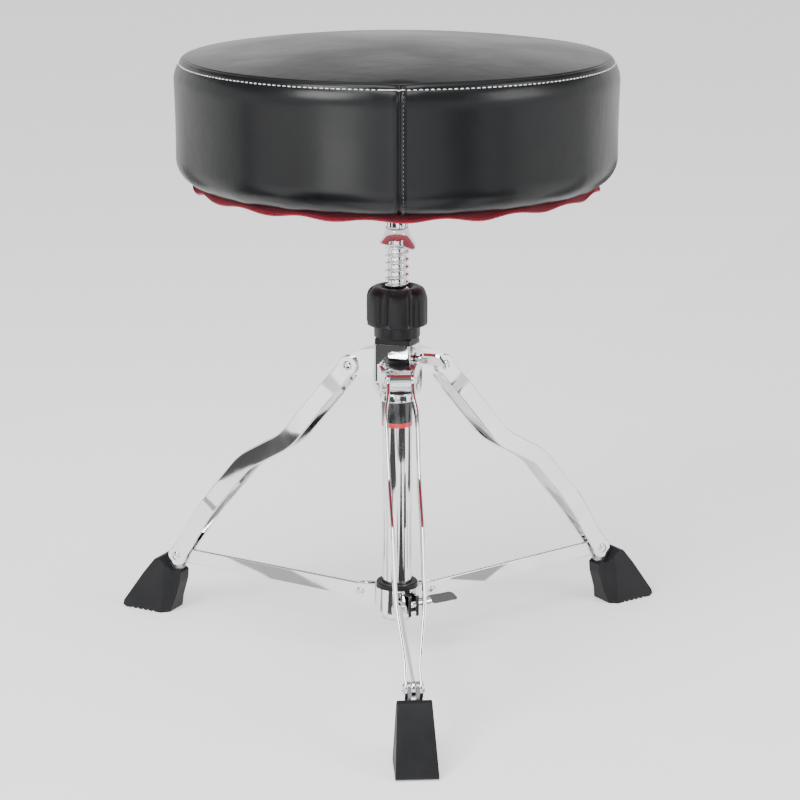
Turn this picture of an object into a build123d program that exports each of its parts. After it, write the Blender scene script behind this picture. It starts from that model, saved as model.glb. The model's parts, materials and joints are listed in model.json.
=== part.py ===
from build123d import *

import os
from math import atan2, degrees, hypot

os.makedirs("parts", exist_ok=True)

# Drum throne: round padded seat on a threaded spindle, over a folding double-braced tripod.
# Millimetres, +Z up. The origin is on the column's axis, at the level of the floor.
# Each leg is drawn in its own radial plane (X outwards, Y sideways) and then turned to its place.
# Outlines are lists of (distance from the axis, height).

# Places around the column, in degrees from +X
leg_angles = {"front": -90, "right": 30, "left": 150}
block_turn = -20.3
clamp_angle = -65
bell_wing_angles = (-40, 140)

# Seat
seat_radius = 200
seat_top = 583
seam_radius = 190
seam_height = 567.5
side_top = 549
side_bottom = 480
underside = 457
tuck_radius = 184
vinyl = 1.6
board_radius = 180
board_thickness = 12
cloth_thickness = 1.6
hem_bottom = 450.5
bracket_size = 110
bracket_thickness = 4
hub_radius = 17
hub_bottom = 429
bracket_screw_place = 42
bracket_screw_radius = 2.5
retaining_height = 438

# Spindle and its nut
stub_radius = 9.7
stub_top = 447
thread_crest = 10.93
thread_root = 8.4
thread_pitch = 7
thread_bottom = 232
thread_top = 397
guide_height = 10
guide_screw_radius = 2.5
nut_radius = 16
nut_bottom = 318
nut_top = 350
knob_radius = 28.6
knob_lobes = 6
knob_top = 356.5
knob_head_bottom = 321
knob_skirt_radius = 21.3
knob_bottom = 309.3
passage = 12.2

# Column and crown
tube_radius = 14
tube_bore = 12.4
tube_bottom = 36
tube_top = 303
block_size = 34.5
block_bottom = 269
block_top = 304
bush_top = 309
lug_half = 9.3
lug_top = 296.5
tab_reach = 22
tab_width = 16
tab_bottom = 257
label_bottom = 224.3
label_top = 248.7
label_radius = 14.5
stripe_height = 4.4
lock_bolt_height = 289
sleeve_gap = 0.05

# Tripod linkage pivots and the bends of a leg between its two pivots
crown_pivot = (45.7, 278)
leg_pivot = (241.2, 59.1)
collar_pivot = (36.9, 54.2)
leg_bends = [(112, 197), (158, 170), (206, 112)]
bend_radius = 30
leg_width = 17
leg_eye_radius = 9.8
plate_thickness = 3
# Height, and distance of a plate's outer face from the leg's middle plane at that height
plate_spread = [(300, 12.7), (264, 12.7), (253, 15.7), (122, 14), (77, 8), (40, 8)]
strut_height = 15
strut_half = 1.8
pin_radius = 2.5
pin_play = 0.07
rivet_head = 4.6
rivet_head_height = 1.6
top_rivet_radius = 3

# Collar
collar_bottom = 43
collar_top = 66.5
collar_radius = 21.2
collar_bush_radius = 19.6
collar_bush_top = 70.5
clevis_gap_half = 2.3
clevis_half = 5.3
clamp_reach = 33
clamp_bolt_place = (27.5, 54.5)

# Foot
foot_outline = [
    (237, 42), (241, 45), (246, 43.5), (254, 53.5), (258, 56), (263, 55), (275.5, 39.5),
    (298.5, 7), (299.5, 2.5), (296, 0), (248, 0), (238, 32),
]
foot_plan = [(230, 8), (244, 8.5), (255, 18.5), (301, 18.5)]
foot_half = {"floor": 18.5, "top": 14.3}
foot_height = 65
tongue_end = (252, 26)
tongue_half = 4.95
tongue_width = 13

# Winged bolts
wing_bolt_radius = 3
wing_hub_radius = 5
wing_thickness = 3.4


def save(shape, node):
    export_step(shape, f"parts/{node}.step")


def group(solids):
    return Compound(children=list(solids))


def turn(angle, shape):
    return Rot(0, 0, angle) * shape


def profile(*pieces):
    """Face in the XZ plane inside a closed chain of lines and arcs."""
    edges = [edge for piece in pieces for edge in piece.edges()]
    return make_face(Plane.XZ * Wire(edges))


def outline(points):
    return make_face(Polyline(*points, close=True))


def turned(points):
    """Solid of revolution about Z."""
    return revolve(Plane.XZ * outline(points), Axis.Z)


def ring(outer, inner, bottom, top):
    return turned([(inner, bottom), (outer, bottom), (outer, top), (inner, top)])


def disc(radius, bottom, top):
    return Pos(0, 0, bottom) * extrude(Circle(radius), top - bottom)


def rod(radius, start, end):
    """Cylinder between two points in space."""
    axis = Vector(*end) - Vector(*start)
    return extrude(Plane(Vector(*start), z_dir=axis) * Circle(radius), axis.length)


def layer(sketch, inner, outer):
    """Side-view sketch made solid between two sideways distances."""
    return Pos(0, outer, 0) * extrude(Plane.XZ * sketch, outer - inner)


def pin(place, radius, inner, outer):
    """Cylinder along Y through a place of the side view."""
    return rod(radius, (place[0], inner, place[1]), (place[0], outer, place[1]))


def both_sides(shape):
    return [shape, mirror(shape, Plane.XZ)]


def link(first, second, width):
    """Side-view stadium between two places."""
    run, rise = second[0] - first[0], second[1] - first[1]
    middle = ((first[0] + second[0]) / 2, (first[1] + second[1]) / 2)
    return Pos(*middle) * Rot(0, 0, degrees(atan2(rise, run))) * SlotCenterToCenter(hypot(run, rise), width)


def along(start, end, distance):
    """Place on the line from start to end at a distance from start."""
    share = distance / hypot(end[0] - start[0], end[1] - start[1])
    return (start[0] + share * (end[0] - start[0]), start[1] + share * (end[1] - start[1]))


# Seat


def seam_place(depth):
    return (seam_radius - depth / 2, seam_height - depth)


def crown_arc(depth):
    """Top of the seat from the axis to the seam, at a depth below the surface."""
    middle = (seam_radius * 0.55, seat_top - 0.29 * (seat_top - seam_height) - depth)
    return ThreePointArc((0, seat_top - depth), middle, seam_place(depth))


def side_run(depth):
    """Side of the seat from the seam to the underside, at a depth below the surface."""
    wall = seat_radius - depth
    seam = seam_place(depth)
    shoulder_middle = (wall - 3.2, (seam[1] + side_top) / 2 + 1.2)
    tuck_middle = (wall - 4.4, underside + depth + 8.4)
    return [
        ThreePointArc(seam, shoulder_middle, (wall, side_top)),
        Line((wall, side_top), (wall, side_bottom)),
        ThreePointArc((wall, side_bottom), tuck_middle, (tuck_radius, underside + depth)),
    ]


def seat_cover_top():
    return revolve(
        profile(
            crown_arc(0),
            Line(seam_place(0), seam_place(vinyl)),
            crown_arc(vinyl),
            Line((0, seat_top - vinyl), (0, seat_top)),
        ),
        Axis.Z,
    )


def seat_cover_side():
    tuck_end = board_radius - 8
    tuck = Polyline(
        (tuck_radius, underside), (tuck_end, underside),
        (tuck_end, underside + vinyl), (tuck_radius, underside + vinyl),
    )
    close = Line(seam_place(vinyl), seam_place(0))
    return revolve(profile(*side_run(0), tuck, *side_run(vinyl), close), Axis.Z)


def seat_foam():
    board_bottom = underside + vinyl
    board_top = board_bottom + board_thickness
    inside = Polyline(
        (tuck_radius, board_bottom), (board_radius, board_bottom), (board_radius, board_top),
        (0, board_top), (0, seat_top - vinyl),
    )
    return revolve(profile(crown_arc(vinyl), *side_run(vinyl), inside), Axis.Z)


def bracket_screw_places():
    near, far = -bracket_screw_place, bracket_screw_place
    return [(x, y) for x in (near, far) for y in (near, far)]


def screw_holes(bottom, top):
    clearance = bracket_screw_radius + sleeve_gap
    return [Pos(x, y) * disc(clearance, bottom, top) for x, y in bracket_screw_places()]


screw_tip = underside + vinyl + 9.5


def seat_board():
    bottom = underside + vinyl
    return disc(board_radius, bottom, bottom + board_thickness) - screw_holes(bottom, screw_tip + 0.5)


def seat_dust_cloth():
    """Cloth disc under the board, with its edge turned down to a hem."""
    under = underside - cloth_thickness
    points = [
        (hub_radius + 4, under), (176, under), (181, hem_bottom), (184, hem_bottom + 1.2),
        (180.4, underside), (hub_radius + 4, underside),
    ]
    return turned(points) - screw_holes(under, underside)


bracket_top = underside - cloth_thickness
bracket_bottom = bracket_top - bracket_thickness


def seat_bracket():
    square = extrude(RectangleRounded(bracket_size, bracket_size, 12), bracket_thickness)
    plate = Pos(0, 0, bracket_bottom) * square
    hub = disc(hub_radius, hub_bottom, bracket_bottom) + turned(
        [(hub_radius, bracket_bottom - 6), (hub_radius + 6, bracket_bottom), (hub_radius, bracket_bottom)]
    )
    socket = disc(stub_radius + sleeve_gap, hub_bottom, stub_top + 0.5)
    grubs = [turn(angle, rod(2.25, (0, 0, retaining_height), (hub_radius + 1, 0, retaining_height)))
             for angle in (0, 180)]
    return plate + hub - socket - screw_holes(bracket_bottom, bracket_top) - grubs


def seat_bracket_screws():
    head_height = 2.8
    screw = disc(5, bracket_bottom - head_height, bracket_bottom)
    screw += disc(bracket_screw_radius, bracket_bottom, screw_tip)
    return group(Pos(x, y) * screw for x, y in bracket_screw_places())


def seat_retaining_screws():
    """Grub screws whose tips run in the stub's groove, so that the seat swivels but can't lift off."""
    screw = rod(2.2, (9, 0, retaining_height), (hub_radius + 1.5, 0, retaining_height))
    return group(turn(angle, screw) for angle in (0, 180))


# Spindle, nut and knob


def thread_points():
    points = []
    height = thread_bottom + 2
    while height + thread_pitch < thread_top:
        points += [
            (thread_root, height), (thread_root, height + 2.6),
            (thread_crest, height + 4.2), (thread_crest, height + 5.4),
        ]
        height += thread_pitch
    return points + [(thread_root, height), (thread_root, thread_top - 0.5)]


def spindle():
    groove_half = 2.6
    groove_radius = 8.4
    points = [(0, thread_bottom), (thread_root, thread_bottom)] + thread_points()
    points += [
        (stub_radius, thread_top), (stub_radius, retaining_height - groove_half),
        (groove_radius, retaining_height - groove_half), (groove_radius, retaining_height + groove_half),
        (stub_radius, retaining_height + groove_half), (stub_radius, stub_top - 1),
        (stub_radius - 1, stub_top), (0, stub_top),
    ]
    return turned(points) - disc(guide_screw_radius + sleeve_gap, thread_bottom, thread_bottom + 14)


def spindle_guide():
    """Plastic slider at the spindle's foot, which centres it in the tube."""
    outer = tube_bore - 0.07
    return ring(outer, guide_screw_radius + sleeve_gap, thread_bottom - guide_height, thread_bottom)


def spindle_guide_screw():
    seat = thread_bottom - guide_height
    return disc(4.6, seat - 3, seat) + disc(guide_screw_radius, seat, thread_bottom + 13.5)


def spindle_bell():
    """Flared skirt at the top of the thread, with two short down-swept wings."""
    bore = stub_radius + sleeve_gap
    skirt = turned([
        (bore, 400), (12.4, 399.8), (15.2, 396.8), (16.3, 397.3),
        (13.4, 401.6), (11.4, 406.5), (10.8, 412), (bore, 412),
    ])
    sweep = turned([
        (13.4, 400.4), (15.2, 396.8), (17.6, 392.6), (18.8, 393), (16.6, 397.8), (14.4, 401.4),
    ])
    wing_box = Pos(15, 0, 397) * Box(12, 15, 20)
    return skirt + [sweep & turn(angle, wing_box) for angle in bell_wing_angles]


def height_knob():
    valleys = [
        turn(step * 360 / knob_lobes, Pos(31.2, 0) * Circle(6.5)) for step in range(knob_lobes)
    ]
    lobed = Circle(knob_radius) - valleys
    lobed = fillet(lobed.vertices(), 1.8)
    envelope = revolve(
        profile(
            Polyline((0, knob_head_bottom), (knob_radius + 1, knob_head_bottom), (knob_radius + 1, 343)),
            ThreePointArc((knob_radius + 1, 343), (27.2, 351.6), (20, knob_top)),
            Polyline((20, knob_top), (0, knob_top), (0, knob_head_bottom)),
        ),
        Axis.Z,
    )
    head = Pos(0, 0, knob_head_bottom) * extrude(lobed, knob_top - knob_head_bottom) & envelope
    skirt = disc(knob_skirt_radius, knob_bottom, knob_head_bottom)
    bore = disc(passage, knob_bottom, knob_top)
    pocket = disc(nut_radius + sleeve_gap, nut_bottom, nut_top)
    mouth = turned([(0, nut_top + 1), (passage, nut_top + 1), (14.8, knob_top), (0, knob_top)])
    return head + skirt - bore - pocket - mouth


def spindle_nut():
    return ring(nut_radius, thread_crest + 0.07, nut_bottom, nut_top)


# Column and crown


def lug_outline():
    x, z = crown_pivot
    points = [
        (5, 271.5), (5, lug_top), (22, lug_top), (36, 293.6),
        (x + 3.6, z + 9), (x - 3.6, z - 9), (31, 270.6),
    ]
    return outline(points) + Pos(x, z) * Circle(9.6)


def tab_angles():
    return [angle + 60 for angle in leg_angles.values()]


def crown_casting():
    middle = (block_bottom + block_top) / 2
    body = turn(block_turn, Pos(0, 0, middle) * Box(block_size, block_size, block_top - block_bottom))
    body = fillet(body.edges().filter_by(Axis.Z), 2)
    lug = layer(lug_outline() - Pos(*crown_pivot) * Circle(4.1), -lug_half, lug_half)
    body += [turn(angle, lug) for angle in leg_angles.values()]
    tab_start = tab_width / 2 + tab_bottom
    slot = Pos(0, tab_start + 6) * Rot(0, 0, 90) * SlotCenterToCenter(12, tab_width)
    tab = Pos(15.6, 0, 0) * extrude(Plane.YZ * slot, tab_reach - 15.6)
    tab -= rod(2.55, (15, 0, 263.7), (tab_reach + 1, 0, 263.7))
    body += [turn(angle, tab) for angle in tab_angles()]
    body -= disc(tube_radius + sleeve_gap, tab_bottom, block_top)
    face = block_size / 2
    hole = rod(wing_bolt_radius + pin_play, (0, 0, lock_bolt_height), (face, 0, lock_bolt_height))
    recess = rod(5.8, (face - 2.4, 0, lock_bolt_height), (face + 1, 0, lock_bolt_height))
    return body - turn(block_turn, hole) - turn(block_turn, recess)


def crown_screws():
    screw = rod(2.5, (15.8, 0, 263.7), (tab_reach, 0, 263.7))
    screw += rod(3.6, (tab_reach, 0, 263.7), (tab_reach + 1.4, 0, 263.7))
    return group(turn(angle, screw) for angle in tab_angles())


def lug_bushes():
    bush = pin(crown_pivot, 4.05, -lug_half, lug_half) - pin(crown_pivot, 3.05, -lug_half, lug_half)
    return group(turn(angle, bush) for angle in leg_angles.values())


def crown_bush():
    """Black plastic pad that the knob turns on."""
    pad = Pos(0, 0, block_top) * extrude(RectangleRounded(33.6, 33.6, 2), bush_top - block_top)
    return turn(block_turn, pad) - disc(passage, block_top, bush_top)


def tube_end_cap():
    plug = tube_bore - sleeve_gap
    return turned([(0, 33), (tube_radius, 33), (tube_radius, 36), (plug, 36), (plug, 46), (0, 46)])


def winged_bolt(tip, hub_start, hub_end, wing_start, wing_end, half_span):
    """Bolt along +Y with a turned hub and a flat paddle across it."""
    shank = rod(wing_bolt_radius, (0, tip, 0), (0, hub_start, 0))
    hub = rod(wing_hub_radius, (0, hub_start, 0), (0, hub_end, 0))
    near, far = wing_start + 4.5, wing_end - 3
    paddle = outline([
        (1 - wing_hub_radius, wing_start), (wing_hub_radius - 1, wing_start), (half_span, near),
        (half_span, far), (half_span - 3, wing_end), (3 - half_span, wing_end),
        (-half_span, far), (-half_span, near),
    ])
    blade = Pos(0, 0, -wing_thickness / 2) * extrude(paddle, wing_thickness)
    return shank + hub + blade


def lock_bolt():
    """Clamps the spindle at its height; it stands on the flat side of the crown block."""
    bolt = winged_bolt(14.3, 22.6, 31, 24, 43.5, 13.5)
    placed = Pos(0, 0, lock_bolt_height) * Rot(0, 0, -90) * Rot(0, -32, 0) * bolt
    return turn(block_turn, placed)


# Collar


def collar_casting():
    """Split ring with three clevises for the struts and two ears for the clamp bolt."""
    body = ring(collar_radius, collar_bush_radius + sleeve_gap, collar_bottom, collar_top)
    gap = Pos(collar_radius, 0, (collar_bottom + collar_top) / 2) * Box(8, 5, collar_top - collar_bottom)
    body -= turn(clamp_angle, gap)
    x, z = collar_pivot
    ear = outline([(19.9, 45), (19.9, 64.5), (x, z + 8.6), (x, z - 8.6)]) + Pos(x, z) * Circle(8.6)
    ear -= Pos(x, z) * Circle(pin_radius + sleeve_gap)
    clevis = both_sides(layer(ear, clevis_gap_half, clevis_half))
    body += [turn(angle, side) for angle in leg_angles.values() for side in clevis]
    bolt_x, bolt_z = clamp_bolt_place
    clamp = Pos((19.9 + clamp_reach) / 2, bolt_z) * Rectangle(clamp_reach - 19.9, 20)
    clamp -= Pos(bolt_x, bolt_z) * Circle(wing_bolt_radius + pin_play)
    return body + [turn(clamp_angle, side) for side in both_sides(layer(clamp, 2.5, 5.7))]


def collar_bush():
    bore = tube_radius + 0.08
    points = [
        (bore, collar_bottom + 0.5), (collar_bush_radius, collar_bottom + 0.5),
        (collar_bush_radius, collar_bush_top - 1.5), (collar_bush_radius - 1.5, collar_bush_top),
        (bore + 1.5, collar_bush_top), (bore, collar_bush_top - 1.5),
    ]
    return turned(points)


def collar_pins():
    shank = pin(collar_pivot, pin_radius, -clevis_half, clevis_half)
    head = pin(collar_pivot, rivet_head, clevis_half, clevis_half + rivet_head_height)
    rivet = shank + both_sides(head)
    return group(turn(angle, rivet) for angle in leg_angles.values())


def collar_clamp_bolt():
    bolt = winged_bolt(-5.5, 6.2, 20, 18, 48, 7.5)
    placed = Pos(clamp_bolt_place[0], 0, clamp_bolt_place[1]) * Rot(0, 14, 0) * bolt
    return turn(clamp_angle, placed)


# Leg


def leg_outline():
    line = FilletPolyline(crown_pivot, *leg_bends, leg_pivot, radius=bend_radius)
    return make_face(offset(line, leg_width / 2, side=Side.BOTH)) + Pos(*crown_pivot) * Circle(leg_eye_radius)


def leg_plate():
    """One flat bar of a leg, on the +Y side, cranked outwards below the crown and in at the foot."""
    holes = [Pos(*crown_pivot) * Circle(top_rivet_radius + sleeve_gap)]
    holes += [Pos(*leg_pivot) * Circle(pin_radius + sleeve_gap)]
    side_view = layer(leg_outline() - holes, 0, 20)
    outer = [(spread, height) for height, spread in plate_spread]
    inner = [(spread - plate_thickness, height) for height, spread in reversed(plate_spread)]
    edge_view = extrude(Plane.YZ * outline(outer + inner), 300)
    return side_view & edge_view


def leg_top_rivet():
    spread = plate_spread[0][1]
    shank = pin(crown_pivot, top_rivet_radius, spread - plate_thickness, spread)
    return shank + pin(crown_pivot, rivet_head, spread, spread + rivet_head_height)


def leg_foot_pin():
    spread = plate_spread[-1][1]
    head = pin(leg_pivot, rivet_head, spread, spread + rivet_head_height)
    return pin(leg_pivot, pin_radius, -spread, spread) + both_sides(head)


def foot_tongue():
    """Forked steel tongue that is riveted between the plates and carries the foot."""
    cheek_inner = strut_half + 0.4
    hole = Pos(*leg_pivot) * Circle(pin_radius + sleeve_gap)
    cheeks = both_sides(layer(link(leg_pivot, tongue_end, tongue_width) - hole, cheek_inner, tongue_half))
    web_start = along(leg_pivot, tongue_end, 15.5)
    web = layer(link(web_start, tongue_end, tongue_width), -tongue_half, tongue_half)
    return web + cheeks


def rubber_foot():
    """Rubber shoe: tapered block with a notch for the plates' ends and a ribbed toe."""
    floor_half, top_half = foot_half["floor"], foot_half["top"]
    taper = outline([
        (-floor_half, 0), (floor_half, 0), (floor_half, 3),
        (top_half, foot_height), (-top_half, foot_height), (-floor_half, 3),
    ])
    plan = outline(foot_plan + [(place, -half) for place, half in reversed(foot_plan)])
    block = layer(outline(foot_outline), -20, 20) & extrude(Plane.YZ * taper, 400)
    block &= extrude(plan, foot_height)
    tongue_pocket = layer(link(leg_pivot, tongue_end, tongue_width + 0.1), -tongue_half, tongue_half)
    ribs = [Pos(place, 0, 0) * Rot(0, 45, 0) * Box(2.4, 40, 2.4) for place in range(264, 294, 6)]
    return block - tongue_pocket - ribs


def strut():
    bar = link(collar_pivot, leg_pivot, strut_height)
    bar -= [Pos(*place) * Circle(pin_radius + pin_play) for place in (collar_pivot, leg_pivot)]
    return layer(bar, -strut_half, strut_half)


save(seat_cover_top(), "seat_cover_top")
save(seat_cover_side(), "seat_cover_side")
save(seat_foam(), "seat_foam")
save(seat_board(), "seat_board")
save(seat_dust_cloth(), "seat_dust_cloth")
save(seat_bracket(), "seat_bracket")
save(seat_bracket_screws(), "seat_bracket_screws")
save(seat_retaining_screws(), "seat_retaining_screws")

save(spindle(), "spindle")
save(spindle_guide(), "spindle_guide")
save(spindle_guide_screw(), "spindle_guide_screw")
save(spindle_bell(), "spindle_bell")
save(height_knob(), "height_knob")
save(spindle_nut(), "spindle_nut")

save(ring(tube_radius, tube_bore, tube_bottom, tube_top), "main_tube")
save(tube_end_cap(), "tube_end_cap")
save(crown_casting(), "crown_casting")
save(crown_screws(), "crown_screws")
save(crown_bush(), "crown_bush")
save(lug_bushes(), "lug_bushes")
save(ring(15.5, tube_radius + sleeve_gap, tab_bottom, block_bottom), "tube_spacer")
save(ring(16.5, tube_radius + sleeve_gap, label_top, tab_bottom), "tube_ferrule")
save(ring(label_radius, tube_radius + sleeve_gap, label_bottom + stripe_height, label_top), "tube_label")
save(ring(label_radius, tube_radius + sleeve_gap, label_bottom, label_bottom + stripe_height), "tube_stripe")
save(lock_bolt(), "lock_bolt")

save(collar_casting(), "collar_casting")
save(collar_bush(), "collar_bush")
save(collar_pins(), "collar_pins")
save(collar_clamp_bolt(), "collar_clamp_bolt")

plate_near, plate_far = both_sides(leg_plate())
leg_parts = {
    "leg_{}_plate_a": plate_near,
    "leg_{}_plate_b": plate_far,
    "leg_{}_foot_pin": leg_foot_pin(),
    "foot_tongue_{}": foot_tongue(),
    "foot_{}": rubber_foot(),
    "strut_{}": strut(),
}
for side, angle in leg_angles.items():
    for name, shape in leg_parts.items():
        save(turn(angle, shape), name.format(side))
    save(group(turn(angle, rivet) for rivet in both_sides(leg_top_rivet())), f"leg_{side}_top_rivets")
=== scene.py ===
import json
import math

import bmesh
import bpy
import numpy as np
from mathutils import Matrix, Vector


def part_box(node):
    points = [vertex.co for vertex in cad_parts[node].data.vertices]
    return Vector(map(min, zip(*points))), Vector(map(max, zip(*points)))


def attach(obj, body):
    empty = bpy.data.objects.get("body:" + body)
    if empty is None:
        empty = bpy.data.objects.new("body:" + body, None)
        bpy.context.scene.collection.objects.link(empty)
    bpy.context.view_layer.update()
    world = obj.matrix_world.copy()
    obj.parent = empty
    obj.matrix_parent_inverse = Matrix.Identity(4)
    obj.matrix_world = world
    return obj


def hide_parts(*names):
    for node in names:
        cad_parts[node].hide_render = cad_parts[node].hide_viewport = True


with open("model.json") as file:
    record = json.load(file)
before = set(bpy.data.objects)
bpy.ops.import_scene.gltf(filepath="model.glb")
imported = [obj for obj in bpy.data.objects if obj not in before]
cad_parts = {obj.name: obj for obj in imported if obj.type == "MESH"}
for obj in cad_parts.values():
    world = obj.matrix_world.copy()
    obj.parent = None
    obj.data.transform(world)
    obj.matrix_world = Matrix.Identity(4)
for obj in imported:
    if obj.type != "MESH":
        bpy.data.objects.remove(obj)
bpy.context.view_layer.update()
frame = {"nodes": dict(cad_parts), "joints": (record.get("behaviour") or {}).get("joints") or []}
joints = {joint["name"]: joint for joint in frame["joints"]}
legAngles = {"front": -90, "right": 30, "left": 150}
print("frame loaded with", len(frame["nodes"]), "CAD nodes")

# ---- shader graphs


class Value:
    # one output socket; arithmetic on it adds Math nodes
    def __init__(self, graph, socket):
        self.graph = graph
        self.socket = socket

    def math(self, operation, *others):
        return self.graph.add("Math", {"operation": operation}, dict(enumerate([self, *others])))

    def __add__(self, other):
        return self.math("ADD", other)

    def __radd__(self, other):
        return self.math("ADD", other)

    def __mul__(self, other):
        return self.math("MULTIPLY", other)

    def __rmul__(self, other):
        return self.math("MULTIPLY", other)

    def __sub__(self, other):
        return self.math("SUBTRACT", other)

    def __rsub__(self, other):
        return self.graph.add("Math", {"operation": "SUBTRACT"}, {0: other, 1: self})


class Graph:
    # a node tree with one method for every kind of node
    def __init__(self, tree):
        self.tree = tree

    def add(self, kind, settings=None, inputs=None, output=0):
        node = self.tree.nodes.new("ShaderNode" + kind)
        for key, value in (settings or {}).items():
            if key == "stops":
                self.setStops(node.color_ramp, value)
            else:
                setattr(node, key, value)
        for key, value in (inputs or {}).items():
            self.feed(node.inputs[key], value)
        return Value(self, node.outputs[output])

    def setStops(self, ramp, stops):
        while len(ramp.elements) < len(stops):
            ramp.elements.new(1)
        for element, (position, shade) in zip(ramp.elements, stops):
            element.position = position
            element.color = (*shade, 1) if isinstance(shade, tuple) else (shade, shade, shade, 1)

    def feed(self, socket, value):
        if isinstance(value, Value):
            self.tree.links.new(value.socket, socket)
        else:
            socket.default_value = value

    def place(self, scale=(1, 1, 1)):
        where = self.add("TexCoord", output="Object")
        return self.add("Mapping", inputs={"Vector": where, "Scale": scale})

    def noise(self, scale, detail=3, where=None):
        inputs = {"Vector": where or self.place(), "Scale": scale, "Detail": detail}
        return self.add("TexNoise", inputs=inputs)

    def spread(self, value, low, high, outLow=0, outHigh=1):
        sizes = {"Value": value, "From Min": low, "From Max": high, "To Min": outLow, "To Max": outHigh}
        return self.add("MapRange", inputs=sizes)

    def blend(self, factor, first, second):
        colors = {0: factor, 6: (*first, 1), 7: (*second, 1)}
        return self.add("Mix", {"data_type": "RGBA"}, colors, 2)

    def bump(self, height, distance, below=None, strength=1.0):
        inputs = {"Height": height, "Distance": distance, "Strength": strength}
        if below:
            inputs["Normal"] = below
        return self.add("Bump", inputs=inputs)


def finish(name, **constants):
    # new material: a graph, with the named numbers set on its shader's own sockets
    material = bpy.data.materials.new(name)
    material.use_nodes = True
    graph = Graph(material.node_tree)
    graph.material = material
    graph.shader = material.node_tree.nodes["Principled BSDF"].inputs
    for key, value in constants.items():
        graph.shader[key.replace("_", " ")].default_value = value
    return graph


chromeLook = {
    "bright": (0.86, 0.865, 0.875), "dull": (0.74, 0.75, 0.77), "smudgeScale": 22, "rough": (0.035, 0.11),
    "rippleScale": 14, "ripple": 0.0004, "peelScale": 800,
}


def chromeFinish(name, peel=0.0):
    # polished plate with faint smudges; peel is the height in metres of a casting's orange peel
    g = finish(name, Metallic=1.0)
    smudge = g.spread(g.noise(chromeLook["smudgeScale"], 5), 0.42, 0.72)
    g.feed(g.shader["Base Color"], g.blend(smudge, chromeLook["bright"], chromeLook["dull"]))
    low, high = chromeLook["rough"]
    g.feed(g.shader["Roughness"], smudge * (high - low) + low)
    normal = g.bump(g.noise(chromeLook["rippleScale"], 2), chromeLook["ripple"])
    if peel:
        normal = g.bump(g.noise(chromeLook["peelScale"], 2), peel, normal)
    g.feed(g.shader["Normal"], normal)
    return g.material


vinylLook = {
    "dark": (0.003, 0.0034, 0.004), "worn": (0.007, 0.0075, 0.0085), "rough": (0.28, 0.38), "specular": 0.22,
    "coat": 0.24, "coatLost": 0.1, "grainScale": 1150, "grain": 0.00005, "creaseScale": 36, "crease": 0.0006,
}


def vinylFinish():
    # satin upholstery vinyl: fine pebble grain, broad handling marks
    g = finish("upholsteryVinyl", Coat_Roughness=0.22, Coat_IOR=1.5)
    marks = g.spread(g.noise(9, 4), 0.35, 0.7)
    g.feed(g.shader["Base Color"], g.blend(marks, vinylLook["dark"], vinylLook["worn"]))
    low, high = vinylLook["rough"]
    g.feed(g.shader["Roughness"], marks * (high - low) + low)
    g.shader["Specular IOR Level"].default_value = vinylLook["specular"]
    g.feed(g.shader["Coat Weight"], vinylLook["coat"] - marks * vinylLook["coatLost"])
    pebbles = g.add("TexVoronoi", {"feature": "SMOOTH_F1"},
                    {"Vector": g.place(), "Scale": vinylLook["grainScale"], "Smoothness": 0.6})
    coarse = g.bump(g.noise(vinylLook["creaseScale"], 3), vinylLook["crease"])
    g.feed(g.shader["Normal"], g.bump(pebbles, vinylLook["grain"], coarse, 0.6))
    return g.material


# both cloth colours are set darker than the cloth's own red: painted shade for the shadow that falls under
# the seat
shadedClothLook = {
    "light": (0.3, 0.006, 0.024), "deep": (0.11, 0.002, 0.009), "threadsPerMetre": 3200, "weave": 0.00006,
}


def shadedClothFinish():
    # plain woven cloth: two crossed wave patterns make the threads; both of its colours are darkened as
    # painted shade for the shadow under the seat
    g = finish("crimsonCloth", Roughness=0.82, Sheen_Weight=0.35, Sheen_Roughness=0.5)
    g.shader["Sheen Tint"].default_value = (1.0, 0.45, 0.5, 1)
    threads = {"Scale": shadedClothLook["threadsPerMetre"] / 20, "Distortion": 0.6, "Detail": 1.0}
    warp = g.add("TexWave", {"bands_direction": "X"}, {"Vector": g.place(), **threads})
    weft = g.add("TexWave", {"bands_direction": "Y"}, {"Vector": g.place(), **threads})
    weave = warp.math("MAXIMUM", weft)
    shade = g.spread(weave * 0.5 + g.noise(60, 3) * 0.5, 0.25, 0.85)
    # painted shade: the weave mixes two colours that are both darkened for the shadow under the seat
    g.feed(g.shader["Base Color"], g.blend(shade, shadedClothLook["deep"], shadedClothLook["light"]))
    g.feed(g.shader["Normal"], g.bump(weave, shadedClothLook["weave"]))
    return g.material


def mouldedFinish(name, dark, light, rough, grainScale, grain, specular=0.5):
    # moulded plastic or rubber: cloudy colour, spark-eroded grain
    g = finish(name)
    g.shader["Specular IOR Level"].default_value = specular
    cloud = g.spread(g.noise(30, 4), 0.3, 0.75)
    g.feed(g.shader["Base Color"], g.blend(cloud, dark, light))
    g.feed(g.shader["Roughness"], cloud * 0.1 + rough)
    g.feed(g.shader["Normal"], g.bump(g.noise(grainScale, 3), grain))
    return g.material


def brushedFinish(name, color, dull, rough, metallic=1.0):
    # drawn or machined metal: noise stretched along the height
    g = finish(name, Metallic=metallic)
    lines = g.noise(260, 2, g.place((1, 1, 0.05)))
    g.feed(g.shader["Base Color"], g.blend(lines, color, dull))
    g.feed(g.shader["Roughness"], lines * 0.14 + rough)
    g.feed(g.shader["Normal"], g.bump(lines, 0.00004))
    return g.material


def foamFinish():
    g = finish("mouldedFoam", Roughness=0.9)
    cells = g.add("TexVoronoi", inputs={"Vector": g.place(), "Scale": 600})
    g.feed(g.shader["Base Color"], g.blend(cells, (0.72, 0.66, 0.48), (0.85, 0.8, 0.64)))
    g.feed(g.shader["Normal"], g.bump(cells, 0.0004))
    return g.material


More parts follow.
